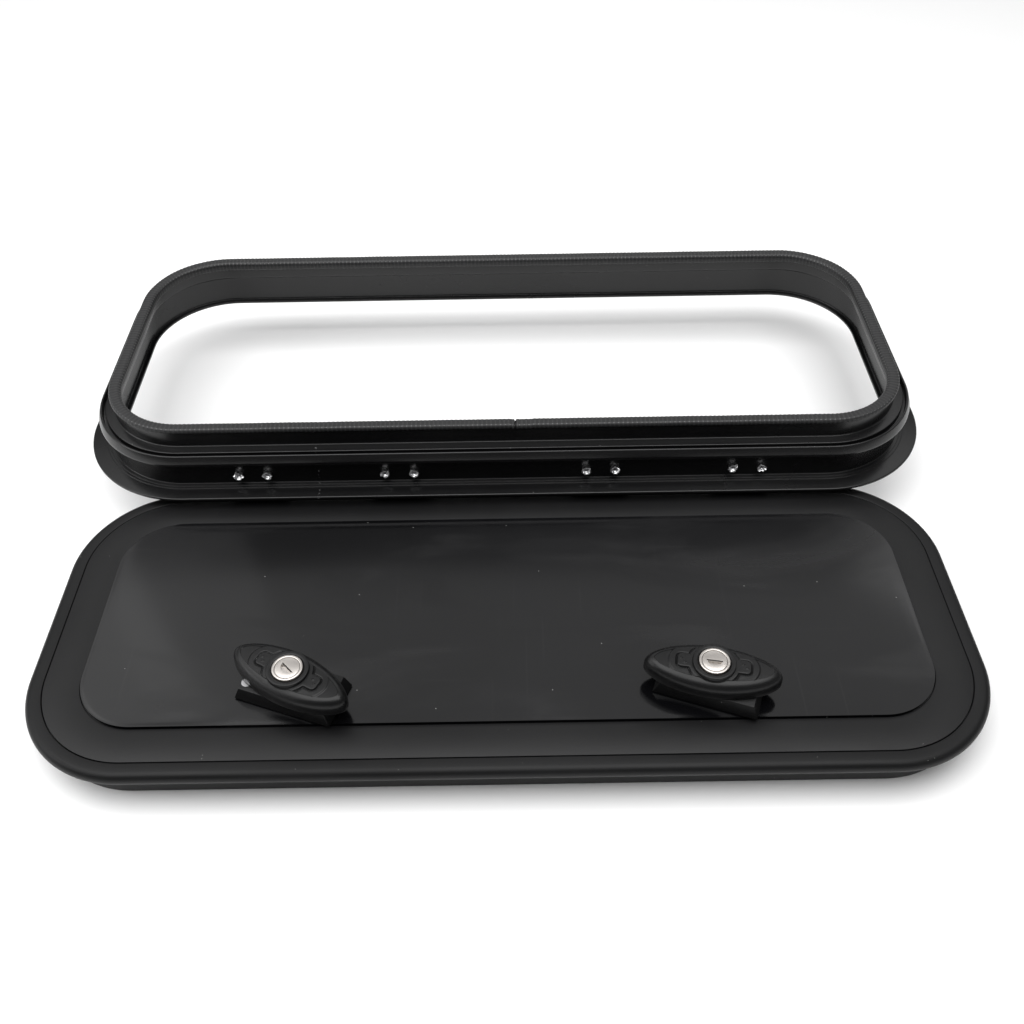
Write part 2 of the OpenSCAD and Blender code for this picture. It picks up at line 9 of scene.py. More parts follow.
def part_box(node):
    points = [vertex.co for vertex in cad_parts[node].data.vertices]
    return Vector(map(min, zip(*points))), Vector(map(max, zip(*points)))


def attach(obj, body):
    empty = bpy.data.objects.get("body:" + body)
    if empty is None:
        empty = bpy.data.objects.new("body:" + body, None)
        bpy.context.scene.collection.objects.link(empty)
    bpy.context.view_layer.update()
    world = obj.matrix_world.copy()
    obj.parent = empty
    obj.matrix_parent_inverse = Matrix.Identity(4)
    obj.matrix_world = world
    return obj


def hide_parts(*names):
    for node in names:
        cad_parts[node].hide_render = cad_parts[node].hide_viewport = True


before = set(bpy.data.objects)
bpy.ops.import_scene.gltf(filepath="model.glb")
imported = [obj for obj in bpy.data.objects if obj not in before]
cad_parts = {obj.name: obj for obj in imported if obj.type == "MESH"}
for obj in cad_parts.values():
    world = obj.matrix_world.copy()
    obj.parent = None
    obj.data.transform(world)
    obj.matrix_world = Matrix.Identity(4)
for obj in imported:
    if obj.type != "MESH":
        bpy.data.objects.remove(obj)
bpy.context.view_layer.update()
scene = bpy.context.scene
mm = 0.001  # pieces are modelled in millimetres and brought to metres at the end


def boxInMm(node):
    low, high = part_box(node)
    return low / mm, high / mm


ringLow, ringHigh = boxInMm("frame_ring")
rimLow, rimHigh = boxInMm("rim_seal")
panelLow, panelHigh = boxInMm("lid_panel")
print("frame loaded")

# camera and light

shot = {
    "lens": 36.4,
    "sensor": 36.0,
    "place": (4.2, -533.7, 543.5),
    "down": 45.75,
    "yaw": -0.01,
    "roll": -0.92,
}
camera = bpy.data.objects.new("camera", bpy.data.cameras.new("camera"))
scene.collection.objects.link(camera)
camera.data.lens = shot["lens"]
camera.data.sensor_width = shot["sensor"]
camera.data.clip_start = 0.01
camera.matrix_world = (
    Matrix.Translation(Vector(shot["place"]) * mm)
    @ Matrix.Rotation(math.radians(shot["yaw"]), 4, "Z")
    @ Matrix.Rotation(math.radians(90 - shot["down"]), 4, "X")
    @ Matrix.Rotation(math.radians(shot["roll"]), 4, "Z")
)
scene.camera = camera

cardAim = (0, -0.534, -0.484)  # the camera mirrored in the lid's face, so the cards show in it
worldGlow = 0.17
softBoxes = {
    "overhead": {"place": (-0.2, -0.4, 2.2), "aim": (-0.2, -0.4, 0), "size": (3.4, 2.0), "glow": 3.5},
    "backCard": {
        "place": (0.05, 0.695, 1.808), "aim": (0.05, -0.534, -0.484), "size": (2.6, 1.2), "glow": 0.58,
    },
    "leftCard1": {"place": (-0.605, 0.714, 0.955), "aim": cardAim, "size": (0.26, 0.6), "glow": 0.22},
    "leftCard2": {"place": (-0.793, 0.604, 0.955), "aim": cardAim, "size": (0.3, 0.6), "glow": 0.55},
    "leftCard3": {"place": (-0.995, 0.431, 0.955), "aim": cardAim, "size": (0.3, 0.6), "glow": 1.0},
    "leftCard4": {"place": (-1.174, 0.202, 0.955), "aim": cardAim, "size": (0.4, 0.6), "glow": 1.5},
    "leftSide": {"place": (-1.6, -0.3, 0.8), "aim": (0, -0.1, 0), "size": (0.9, 0.7), "glow": 3.2},
    "rightCard": {"place": (1.0, 0.75, 0.95), "aim": cardAim, "size": (0.6, 0.4), "glow": 0.9},
    "floorBack": {"place": (0, 2.6, 1.6), "aim": (0, 1.2, 0), "size": (3.0, 0.8), "glow": 1.6},
}
for boxName, box in softBoxes.items():
    lamp = bpy.data.objects.new(boxName, bpy.data.lights.new(boxName, "AREA"))
    lamp.data.shape = "RECTANGLE"
    lamp.data.size, lamp.data.size_y = box["size"]
    lamp.data.energy = box["glow"] * math.pi * box["size"][0] * box["size"][1]
    lamp.location = box["place"]
    lamp.rotation_euler = (Vector(box["aim"]) - lamp.location).to_track_quat("-Z", "Y").to_euler()
    scene.collection.objects.link(lamp)

scene.world = bpy.data.worlds.new("studio")
scene.world.use_nodes = True
studioLight = scene.world.node_tree.nodes["Background"]
studioLight.inputs["Color"].default_value = (1, 1, 1, 1)
studioLight.inputs["Strength"].default_value = worldGlow
scene.view_settings.view_transform = "Standard"
print("camera and lights placed")

# shader groups


def newGroup(name, inputs, outputs):
    group = bpy.data.node_groups.new(name, "ShaderNodeTree")
    for socket, value in inputs.items():
        made = group.interface.new_socket(socket, in_out="INPUT", socket_type="NodeSocketFloat")
        made.default_value = value
    for socket in outputs:
        group.interface.new_socket(socket, in_out="OUTPUT", socket_type="NodeSocketFloat")
    return group, group.nodes.new("NodeGroupInput"), group.nodes.new("NodeGroupOutput")


def addNode(tree, kind, settings=None, **inputs):
    node = tree.nodes.new(kind)
    for key, value in (settings or {}).items():
        setattr(node, key, value)
    for key, value in inputs.items():
        socket = node.inputs[key] if key in node.inputs else node.inputs[int(key[1:])]
        if isinstance(value, bpy.types.NodeSocket):
            tree.links.new(value, socket)
        else:
            socket.default_value = value
    return node


def maths(tree, operation, first, second=0.0, clamp=False):
    settings = {"operation": operation, "use_clamp": clamp}
    return addNode(tree, "ShaderNodeMath", settings, i0=first, i1=second).outputs[0]


def ramp(tree, value, low, high, start=0.0, end=1.0):
    node = addNode(tree, "ShaderNodeMapRange", {"interpolation_type": "SMOOTHSTEP"}, Value=value)
    for socket, number in (("From Min", low), ("From Max", high), ("To Min", start), ("To Max", end)):
        node.inputs[socket].default_value = number
    return node.outputs["Result"]


def stretched(tree, scale, turn=0.0):
    place = addNode(tree, "ShaderNodeTexCoord").outputs["Object"]
    mapping = addNode(tree, "ShaderNodeMapping", Vector=place)
    mapping.inputs["Scale"].default_value = scale
    mapping.inputs["Rotation"].default_value = (0, 0, turn)
    return mapping.outputs["Vector"]


# fine grain for the bump, and slow drift of tone over the piece
grainGroup, grainIn, grainOut = newGroup("surfaceGrain", {"Scale": 900.0, "Drift": 9.0}, ["Height", "Tone"])
grainPlace = addNode(grainGroup, "ShaderNodeTexCoord").outputs["Object"]
grainFine = addNode(grainGroup, "ShaderNodeTexNoise", None, Vector=grainPlace, Scale=grainIn.outputs["Scale"])
grainFine.inputs["Detail"].default_value = 3
grainSlow = addNode(grainGroup, "ShaderNodeTexNoise", None, Vector=grainPlace, Scale=grainIn.outputs["Drift"])
grainSlow.inputs["Detail"].default_value = 4
grainGroup.links.new(grainFine.outputs["Fac"], grainOut.inputs["Height"])
grainGroup.links.new(ramp(grainGroup, grainSlow.outputs["Fac"], 0.3, 0.7), grainOut.inputs["Tone"])

# wiped hand marks, and hairline scratches in two directions
marksGroup, marksIn, marksOut = newGroup(
    "handMarks", {"Scale": 8.0, "Smudges": 1.0, "Scratches": 1.0}, ["Smudge", "Scratch"]
)
wipedAcross = stretched(marksGroup, (0.5, 1.7, 1), 0.3)
marksSlow = addNode(
    marksGroup, "ShaderNodeTexNoise", None, Vector=wipedAcross, Scale=marksIn.outputs["Scale"]
)
marksSlow.inputs["Detail"].default_value = 5
marksSlow.inputs["Distortion"].default_value = 0.6
wiped = ramp(marksGroup, marksSlow.outputs["Fac"], 0.52, 0.72)
smudged = maths(marksGroup, "MULTIPLY", wiped, marksIn.outputs["Smudges"])
marksGroup.links.new(smudged, marksOut.inputs["Smudge"])
hairlines = []
for scratchTurn, scratchScale in ((0.35, (9, 700, 9)), (-0.9, (600, 7, 7))):
    drawnOut = stretched(marksGroup, scratchScale, scratchTurn)
    hair = addNode(marksGroup, "ShaderNodeTexNoise", None, Vector=drawnOut, Scale=1.0)
    hair.inputs["Detail"].default_value = 1
    hairlines.append(ramp(marksGroup, hair.outputs["Fac"], 0.73, 0.79))
crossed = maths(marksGroup, "MAXIMUM", hairlines[0], hairlines[1])
scratched = maths(marksGroup, "MULTIPLY", crossed, marksIn.outputs["Scratches"])
marksGroup.links.new(scratched, marksOut.inputs["Scratch"])

# sparse specks of dust
dustGroup, dustIn, dustOut = newGroup("dustSpecks", {"Scale": 260.0, "Share": 0.1, "Size": 0.07}, ["Specks"])
dustPlace = addNode(dustGroup, "ShaderNodeTexCoord").outputs["Object"]
dustCells = addNode(dustGroup, "ShaderNodeTexVoronoi", None, Vector=dustPlace, Scale=dustIn.outputs["Scale"])
dustNear = maths(dustGroup, "LESS_THAN", dustCells.outputs["Distance"], dustIn.outputs["Size"])
dustPick = addNode(dustGroup, "ShaderNodeSeparateColor", None, Color=dustCells.outputs["Color"])
dustShown = maths(dustGroup, "LESS_THAN", dustPick.outputs["Red"], dustIn.outputs["Share"])
dustGroup.links.new(maths(dustGroup, "MULTIPLY", dustNear, dustShown), dustOut.inputs["Specks"])
print("shader groups built")

# materials


def newFinish(name, look):
    material = bpy.data.materials.new(name)
    material.use_nodes = True
    tree = material.node_tree
    shader = tree.nodes["Principled BSDF"]
    shader.inputs["Metallic"].default_value = look.get("metallic", 0.0)
    shader.inputs["Coat Weight"].default_value = look.get("coat", 0.0)
    shader.inputs["Coat Roughness"].default_value = look.get("coatRough", 0.05)
    shader.inputs["Specular IOR Level"].default_value = look.get("specular", 0.5)
    grain = addNode(
        tree, "ShaderNodeGroup", {"node_tree": grainGroup},
        Scale=look["grain"], Drift=look.get("drift", 9.0),
    )
    marks = addNode(
        tree, "ShaderNodeGroup", {"node_tree": marksGroup},
        Scale=look.get("markScale", 8.0), Smudges=look.get("smudges", 0.0),
        Scratches=look.get("scratches", 0.0),
    )
    dust = addNode(
        tree, "ShaderNodeGroup", {"node_tree": dustGroup},
        Scale=look.get("dustScale", 260.0), Share=look.get("dust", 0.0),
    )
    toned = addNode(tree, "ShaderNodeMix", {"data_type": "RGBA"}, Factor=grain.outputs["Tone"])
    toned.inputs["A"].default_value = (*look["dark"], 1)
    toned.inputs["B"].default_value = (*look["light"], 1)
    paleScratch = maths(tree, "MULTIPLY", marks.outputs["Scratch"], 0.25)
    pale = maths(tree, "MAXIMUM", dust.outputs["Specks"], paleScratch)
    dusted = addNode(tree, "ShaderNodeMix", {"data_type": "RGBA"}, Factor=pale)
    tree.links.new(toned.outputs["Result"], dusted.inputs["A"])
    dusted.inputs["B"].default_value = (*look.get("dustColour", (0.16, 0.16, 0.155)), 1)
    tree.links.new(dusted.outputs["Result"], shader.inputs["Base Color"])
    drift = maths(tree, "MULTIPLY", grain.outputs["Tone"], look.get("roughDrift", 0.06))
    worn = maths(tree, "MAXIMUM", marks.outputs["Smudge"], marks.outputs["Scratch"])
    marked = maths(tree, "MULTIPLY", worn, look.get("markRough", 0.2))
    rough = maths(tree, "ADD", maths(tree, "ADD", drift, marked), look["rough"], True)
    tree.links.new(rough, shader.inputs["Roughness"])
    bump = addNode(tree, "ShaderNodeBump", None, Height=grain.outputs["Height"])
    bump.inputs["Distance"].default_value = look["bump"] * mm
    tree.links.new(bump.outputs["Normal"], shader.inputs["Normal"])
    return {"material": material, "tree": tree, "shader": shader, "colour": dusted}


def mixOver(made, mask, colour):
    tree = made["tree"]
    mix = addNode(tree, "ShaderNodeMix", {"data_type": "RGBA"}, Factor=mask)
    tree.links.new(made["colour"].outputs["Result"], mix.inputs["A"])
    mix.inputs["B"].default_value = (*colour, 1)
    tree.links.new(mix.outputs["Result"], made["shader"].inputs["Base Color"])
    made["colour"] = mix


looks = {
    "frameAlu": {
        "dark": (0.003, 0.003, 0.0033), "light": (0.0055, 0.0055, 0.0058), "rough": 0.22,
        "grain": 1400, "bump": 0.012, "specular": 0.42, "smudges": 0.4, "markRough": 0.12,
        "dust": 0.02,
    },
    "lidAlu": {
        "dark": (0.0035, 0.0035, 0.0038), "light": (0.006, 0.006, 0.0064), "rough": 0.36,
        "grain": 1300, "bump": 0.015, "specular": 0.27, "smudges": 0.6, "markRough": 0.12,
        "dust": 0.03,
    },
    "panelGloss": {
        "dark": (0.002, 0.002, 0.0024), "light": (0.004, 0.004, 0.0046), "rough": 0.1, "grain": 30,
        "bump": 0.012, "roughDrift": 0.03, "smudges": 1.0, "markRough": 0.18, "markScale": 11,
        "dust": 0.05, "scratches": 0.12, "dustScale": 190,
    },
    "linerAbs": {
        "dark": (0.014, 0.014, 0.0145), "light": (0.020, 0.020, 0.021), "rough": 0.55, "grain": 420,
        "bump": 0.12,
    },
    "rimRubber": {
        "dark": (0.003, 0.003, 0.0032), "light": (0.006, 0.006, 0.0064), "rough": 0.42,
        "grain": 1100, "bump": 0.02, "specular": 0.22, "smudges": 0.5, "dust": 0.05,
    },
    "trimRubber": {
        "dark": (0.009, 0.009, 0.0094), "light": (0.014, 0.014, 0.0145), "rough": 0.44,
        "grain": 1600, "bump": 0.03, "specular": 0.4, "dust": 0.04,
    },
    "gasketFoam": {
        "dark": (0.008, 0.008, 0.008), "light": (0.012, 0.012, 0.012), "rough": 0.85, "grain": 1500,
        "bump": 0.15,
    },
    "hingeBlack": {
        "dark": (0.002, 0.002, 0.0022), "light": (0.004, 0.004, 0.0042), "rough": 0.4, "grain": 900,
        "bump": 0.04, "specular": 0.35,
    },
    "lockBlack": {
        "dark": (0.002, 0.002, 0.0022), "light": (0.004, 0.004, 0.0042), "rough": 0.34,
        "grain": 2000, "bump": 0.04, "specular": 0.28, "smudges": 0.4, "dust": 0.04,
    },
    "knobBlack": {
        "dark": (0.003, 0.003, 0.0032), "light": (0.006, 0.006, 0.0063), "rough": 0.3,
        "grain": 2200, "bump": 0.04, "specular": 0.3, "smudges": 0.6, "markScale": 40, "dust": 0.04,
    },
    "keyNickel": {
        "dark": (0.44, 0.41, 0.385), "light": (0.56, 0.53, 0.50), "rough": 0.3, "grain": 1500,
        "bump": 0.03, "metallic": 1.0, "scratches": 0.8, "markRough": 0.15,
        "dustColour": (0.5, 0.48, 0.45),
    },
    "rivetAlu": {
        "dark": (0.66, 0.66, 0.67), "light": (0.86, 0.86, 0.87), "rough": 0.16, "grain": 1200,
        "bump": 0.03, "metallic": 1.0, "drift": 400, "roughDrift": 0.2,
    },
    "steel": {
        "dark": (0.45, 0.45, 0.46), "light": (0.6, 0.6, 0.61), "rough": 0.26, "grain": 900,
        "bump": 0.02, "metallic": 1.0,
    },
    "zinc": {
        "dark": (0.38, 0.38, 0.39), "light": (0.5, 0.5, 0.51), "rough": 0.38, "grain": 700,
        "bump": 0.05, "metallic": 1.0, "drift": 60, "roughDrift": 0.15,
    },
}
finishes = {name: newFinish(name, look) for name, look in looks.items()}
print("materials built")

# modelling helpers


def roundedLoop(bm, points, corner):
    # a section in the YZ plane: inset, height and, where given, the rounding of that corner
    verts = [bm.verts.new(corner + Vector((0, p[0], p[1]))) for p in points]
    bm.faces.new(verts)
    for radius in sorted({p[2] for p in points if len(p) > 2}, reverse=True):
        bmesh.ops.bevel(
            bm, geom=[v for v, p in zip(verts, points) if len(p) > 2 and p[2] == radius], offset=radius,
            offset_type="OFFSET", affect="VERTICES", segments=3 + int(radius * 1.2), profile=0.5, material=-1,
        )
    loop = list(bm.edges)
    bmesh.ops.delete(bm, geom=list(bm.faces), context="FACES_ONLY")
    return loop


def onlyEdges(geometry):
    return [g for g in geometry if isinstance(g, bmesh.types.BMEdge)]


def onlyVerts(geometry):
    return [g for g in geometry if isinstance(g, bmesh.types.BMVert)]


def sweepAround(bm, loop, ring, straightStep, cornerSteps):
    reach = Vector((ring["length"] / 2 - ring["radius"], ring["width"] / 2 - ring["radius"], 0))
    middle = Vector((0, ring["front"] + ring["width"] / 2, 0))
    for quarter in range(4):
        heading = Matrix.Rotation(quarter * math.pi / 2, 3, "Z") @ Vector((1, 0, 0))
        straight = 2 * (reach.x if quarter % 2 == 0 else reach.y)
        count = max(1, round(straight / straightStep))
        for _ in range(count):
            grown = bmesh.ops.extrude_edge_only(bm, edges=loop)["geom"]
            loop = [e for e in onlyEdges(grown) if e.is_boundary]
            bmesh.ops.translate(bm, verts=onlyVerts(grown), vec=heading * straight / count)
        signs = ((1, -1), (1, 1), (-1, 1), (-1, -1))[quarter]
        pivot = middle + Vector((signs[0] * reach.x, signs[1] * reach.y, 0))
        spun = bmesh.ops.spin(
            bm, geom=loop + list({v for e in loop for v in e.verts}), cent=pivot, axis=(0, 0, 1),
            angle=math.pi / 2, steps=cornerSteps,
        )
        loop = onlyEdges(spun["geom_last"])
    bmesh.ops.remove_doubles(bm, verts=bm.verts, dist=0.01)
    bmesh.ops.recalc_face_normals(bm, faces=bm.faces)


def placeOnRing(point, ring, track):
    # distance along the ring from the front middle, at the track's inset, and inset from the outline
    reachX = ring["length"] / 2 - ring["radius"]
    reachY = ring["width"] / 2 - ring["radius"]
    x, y = abs(point.x), point.y - ring["front"] - ring["width"] / 2
    bend = ring["radius"] - track
    arc = bend * math.pi / 2
    outX, outY = max(0.0, x - reachX), max(0.0, abs(y) - reachY)
    inset = ring["radius"] - math.hypot(outX, outY) if outX and outY else ring["radius"] - max(outX, outY)
    if y < -reachY:
        along = min(x, reachX) + bend * math.atan2(outX, outY)
    elif y <= reachY:
        along = reachX + arc + y + reachY
    else:
        along = reachX + arc + 2 * reachY + bend * math.atan2(outY, outX) + reachX - min(x, reachX)
    return math.copysign(along, point.x), inset


def spunShape(bm, profile, steps=32, axis=(0, 0, 1)):
    # profile points are radius and height; a closed profile ends on its first point
    verts = [bm.verts.new((r, 0, h)) if axis[2] else bm.verts.new((r, h, 0)) for r, h in profile]
    edges = [bm.edges.new(pair) for pair in zip(verts, verts[1:])]
    bmesh.ops.spin(
        bm, geom=verts + edges, cent=(0, 0, 0), axis=axis, angle=2 * math.pi, steps=steps, use_merge=True
    )
    bmesh.ops.remove_doubles(bm, verts=bm.verts, dist=0.001)
    bmesh.ops.recalc_face_normals(bm, faces=bm.faces)


def addBlock(bm, low, high):
    made = bmesh.ops.create_cube(bm, size=1.0)["verts"]
    low, high = Vector(low), Vector(high)
    bmesh.ops.scale(bm, verts=made, vec=high - low)
    bmesh.ops.translate(bm, verts=made, vec=(high + low) / 2)
    return made


def addRod(bm, radius, low, high, place, segments=32):
    matrix = Matrix.Translation((place[0], place[1], (low + high) / 2))
    return bmesh.ops.create_cone(
        bm, cap_ends=True, segments=segments, radius1=radius, radius2=radius, depth=high - low, matrix=matrix
    )["verts"]


def carve(obj, cutter):
    tool = bpy.data.objects.new("cutter", bpy.data.meshes.new("cutter"))
    bmesh.ops.scale(cutter, verts=cutter.verts, vec=(mm, mm, mm))
    cutter.to_mesh(tool.data)
    cutter.free()
    scene.collection.objects.link(tool)
    cut = obj.modifiers.new("cut", "BOOLEAN")
    cut.object = tool
    cut.solver = "EXACT"
    bpy.context.view_layer.update()
    carved = bpy.data.meshes.new_from_object(obj.evaluated_get(bpy.context.evaluated_depsgraph_get()))
    obj.modifiers.clear()
    obj.data = carved
    bpy.data.objects.remove(tool)


def makePiece(name, bm, body, finish, stands, cutter=None, sharp=32):
    bmesh.ops.scale(bm, verts=bm.verts, vec=(mm, mm, mm))
    obj = bpy.data.objects.new(name, bpy.data.meshes.new(name))
    bm.to_mesh(obj.data)
    bm.free()
    scene.collection.objects.link(obj)
    if cutter:
        carve(obj, cutter)
    shaded = bmesh.new()
    shaded.from_mesh(obj.data)
    for face in shaded.faces:
        face.smooth = True
        face.material_index = 0
    for edge in shaded.edges:
        edge.smooth = edge.calc_face_angle(0) < math.radians(sharp)
    shaded.to_mesh(obj.data)
    shaded.free()
    obj.data.materials.clear()
    obj.data.materials.append(finishes[finish]["material"])
    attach(obj, body)
    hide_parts(*stands)
    return obj


# deck frame

deck = {
    "length": ringHigh.x - ringLow.x,
    "width": ringHigh.y - ringLow.y,
    "radius": 81.0,
    "front": ringLow.y,
    "flangeThick": 2.0,
    "pocketInset": 15.0,
    "pocketIn": 17.4,
    "lipIn": 21.0,
    "ledge": 28.0,
    "neckInset": 24.0,
    "neckIn": 26.2,
    "cornerSteps": 26,
}
deck["back"] = ringLow.z + deck["flangeThick"]
deck["neckTop"] = ringHigh.z - deck["back"]
hinge = {"at": {}, "length": 140.0}
sides = ("left", "right")
straightStep = 60  # rough length of a face along a straight run
for sideName in sides:
    pinLow, pinHigh = boxInMm(f"hinge_pin_{sideName}")
    hinge["at"][sideName] = (pinLow.x + pinHigh.x) / 2

deckSection = [
    (0, -deck["flangeThick"], 0.8), (0, 0, 0.8), (10.4, 0, 0.25), (10.4, 0.5, 0.2), (12.2, 0.5, 0.2),
    (12.2, 1, 0.2), (14.6, 1, 0.2), (deck["pocketInset"], 1.5, 0.2), (deck["pocketInset"], 19.8, 0.6),
    (10.6, 20.8, 0.5), (10.6, 22.4, 0.6), (12.8, deck["ledge"], 0.6), (14.2, deck["ledge"], 0.4),
    (14.2, 23.5, 0.4), (16.6, 23.5, 0.4), (16.6, deck["ledge"], 0.6),
    (deck["neckInset"], deck["ledge"], 1.0), (deck["neckInset"], deck["neckTop"], 0.4),
    (deck["neckIn"], deck["neckTop"], 0.4), (deck["neckIn"], 26, 1.6), (18.6, 26, 0.6), (18.6, 22, 0.5),
    (deck["pocketIn"], 21, 0.5), (deck["pocketIn"], 0, 0.8), (deck["lipIn"], 0, 0.5),
    (deck["lipIn"], -deck["flangeThick"], 0.5),
]


def startOf(ring, height):
    return Vector((-(ring["length"] / 2 - ring["radius"]), ring["front"], height))


def buildDeckFrame():
    bm = bmesh.new()
    loop = roundedLoop(bm, deckSection, startOf(deck, deck["back"]))
    sweepAround(bm, loop, deck, straightStep, deck["cornerSteps"])
    cutter = bmesh.new()
    for middle in hinge["at"].values():
        half = hinge["length"] / 2 + 1
        addBlock(
            cutter, (middle - half, deck["front"] + deck["pocketIn"], deck["back"] - 4),
            (middle + half, deck["front"] + deck["lipIn"] + 1, deck["back"] + 1),
        )
    return makePiece("deckFrame", bm, "frame", "frameAlu", ["frame_ring"], cutter)


buildDeckFrame()
print("deck frame built")

# ribbed edge trim

trim = {
    "near": 22.4,
    "far": 31.3,
    "track": 27.0,
    "leg": 3.4,
    "bulb": 7.4,
    "ribPitch": 3.0,
    "ribDeep": 0.22,
    "ribSamples": 4,
    "jointAt": 5.0,
    "jointWide": 0.55,
    "jointDeep": 1.3,
    "jointStep": 0.35,
    "jointLean": 0.06,
    "stepReach": 14,
    "waves": 0.28,
    "wavePitch": 23.0,
    "waveSeed": 3.7,
    "gripNear": 23.9,
    "gripFar": 26.3,
    "gripTop": 1.5,
    "gripClear": 0.1,
    "cornerSteps": 30,
    # pitch and insets of the painted highlight dots on the rib crests
    "paintedGlintPitch": 3.2,
    "paintedGlintRows": (23.6, 30.3),
}


def runsLengthwise(edge):
    first, last = (v.co for v in edge.verts)
    level = abs(first.z - last.z) < 1e-4 and edge.calc_length() > 2.0
    return level and abs(placeOnRing(first, deck, 0)[1] - placeOnRing(last, deck, 0)[1]) < 0.05


def buildEdgeTrim():
    top = boxInMm("edge_trim")[1].z - deck["back"]
    section = [
        (trim["gripNear"], top - trim["gripTop"]), (trim["gripNear"], top - trim["leg"]),
        (trim["near"], top - trim["leg"] + 0.3, 0.3), (trim["near"], top, 2.1), (trim["far"], top, 3.3),
        (trim["far"], top - trim["bulb"], 2.2), (trim["gripFar"], top - trim["bulb"]),
        (trim["gripFar"], top - trim["gripTop"]),
    ]
    bm = bmesh.new()
    loop = roundedLoop(bm, section, startOf(deck, deck["back"]))
    sweepAround(bm, loop, deck, trim["ribPitch"], trim["cornerSteps"])
    lengthwise = [e for e in bm.edges if runsLengthwise(e)]
    bmesh.ops.subdivide_edges(bm, edges=lengthwise, cuts=trim["ribSamples"] - 1, use_grid_fill=True)
    bm.normal_update()
    moves = {}
    for v in bm.verts:
        along, inset = placeOnRing(v.co, deck, trim["track"])
        height = v.co.z - deck["back"]
        inGrip = trim["gripNear"] - trim["gripClear"] < inset < trim["gripFar"] + trim["gripClear"]
        if inGrip and height < top - trim["gripTop"] + trim["gripClear"]:
            continue  # the slot that grips the neck
        ribs = trim["ribDeep"] * (0.5 - 0.5 * math.cos(2 * math.pi * along / trim["ribPitch"]))
        waveAt = Vector((along / trim["wavePitch"], 0, trim["waveSeed"]))
        slow = trim["waves"] * (0.5 + 0.5 * noise.noise(waveAt))
        fromJoint = along - trim["jointAt"]
        offJoint = abs(fromJoint - trim["jointLean"] * height) / trim["jointWide"]
        gap = trim["jointDeep"] * max(0.0, 1 - offJoint)
        stepDown = trim["jointStep"] if 0 < fromJoint < trim["stepReach"] else 0.0
        moves[v] = -v.normal * (ribs + gap) - Vector((0, 0, slow + stepDown))
    for v, move in moves.items():
        v.co += move
    piece = makePiece("edgeTrim", bm, "frame", "trimRubber", ["edge_trim"], None, 60)
    along = piece.data.attributes.new("along", "FLOAT", "POINT")
    across = piece.data.attributes.new("across", "FLOAT", "POINT")
    for index, v in enumerate(piece.data.vertices):
        along.data[index].value, across.data[index].value = placeOnRing(v.co / mm, deck, trim["track"])


buildEdgeTrim()
print("edge trim built")

# lid: frame, rubber rim, panel

lid = {
    "length": rimHigh.x - rimLow.x,
    "width": rimHigh.y - rimLow.y,
    "radius": 70.0,
    "front": rimLow.y,
    "face": rimHigh.z,
    "depth": 30.0,
    "rimWide": 10.2,
    "rimHigh": 9.5,
    "skirt": 9.2,
    "skirtThick": 1.8,
    "cornerSteps": 26,
}
lock = {"at": {}, "baseTurn": 20.0}
for sideName in sides:
    cylinderLow, cylinderHigh = boxInMm(f"lock_cylinder_{sideName}")
    lock["at"][sideName] = (cylinderLow + cylinderHigh).to_2d() / 2
camSlot = {"left": 8.0, "right": 34.0, "below": 12.4, "high": 4.6}
liner = {"screwInset": 14.6, "pitch": 100.0, "headHole": 3.0}


def buildLidFrame():
    inner = lid["skirt"] + lid["skirtThick"]
    section = [
        (10.6, 0, 0.35), (32.4, 0, 0.45), (32.4, -1.4), (35.6, -1.4, 0.3), (35.6, -3.2), (30.4, -3.2),
        (30.4, -2), (inner, -2, 0.5), (inner, -28.2, 1.0), (18.2, -28.2, 0.3), (18.2, -lid["depth"], 0.3),
        (lid["skirt"], -lid["depth"], 1.5), (lid["skirt"], -5.6), (4.6, -5.6), (4.6, -4), (lid["skirt"], -4),
        (lid["skirt"], -2.3), (10.6, -2.3),
    ]
    bm = bmesh.new()
    loop = roundedLoop(bm, section, startOf(lid, lid["face"]))
    sweepAround(bm, loop, lid, straightStep, lid["cornerSteps"])
    cutter = bmesh.new()
    slotTop = lid["face"] - camSlot["below"]
    for centre in lock["at"].values():
        addBlock(
            cutter, (centre.x - camSlot["left"], lid["front"] + lid["skirt"] - 1, slotTop - camSlot["high"]),
            (centre.x + camSlot["right"], lid["front"] + inner + 1, slotTop),
        )
    for spotX, spotY in hemSpots():
        addRod(cutter, liner["headHole"], -1, 2.4, (spotX, spotY))
    return makePiece("lidFrame", bm, "lid", "lidAlu", ["lid_frame"], cutter)


def hemSpots():
    middle = lid["front"] + lid["width"] / 2
    reachX = lid["length"] / 2 - liner["screwInset"]
    reachY = lid["width"] / 2 - liner["screwInset"]
    rows = [(k * liner["pitch"], middle + s * reachY) for k in range(-2, 3) for s in (-1, 1)]
    return rows + [(s * reachX, middle) for s in (-1, 1)]


def buildRimSeal():
    bullnose = lid["rimHigh"] / 2 - 0.02  # just under half the height, so the two roundings stay apart
    section = [
        (0, 0, bullnose), (0, -lid["rimHigh"], bullnose), (9.1, -lid["rimHigh"], 0.6), (9.1, -5.7),
        (4.5, -5.7), (4.5, -3.9), (9.1, -3.9), (9.1, -2.2), (lid["rimWide"], -2.2), (lid["rimWide"], 0, 0.6),
    ]
    bm = bmesh.new()
    loop = roundedLoop(bm, section, startOf(lid, lid["face"]))
    sweepAround(bm, loop, lid, straightStep, lid["cornerSteps"])
    cutter = bmesh.new()
    rear = lid["front"] + lid["width"]
    for middle in hinge["at"].values():
        half = hinge["length"] / 2 + 2
        addBlock(
            cutter, (middle - half, rear - 4.5, lid["face"] - 12), (middle + half, rear + 1, lid["face"] + 1)
        )
    return makePiece("rimSeal", bm, "lid", "rimRubber", ["rim_seal"], cutter)


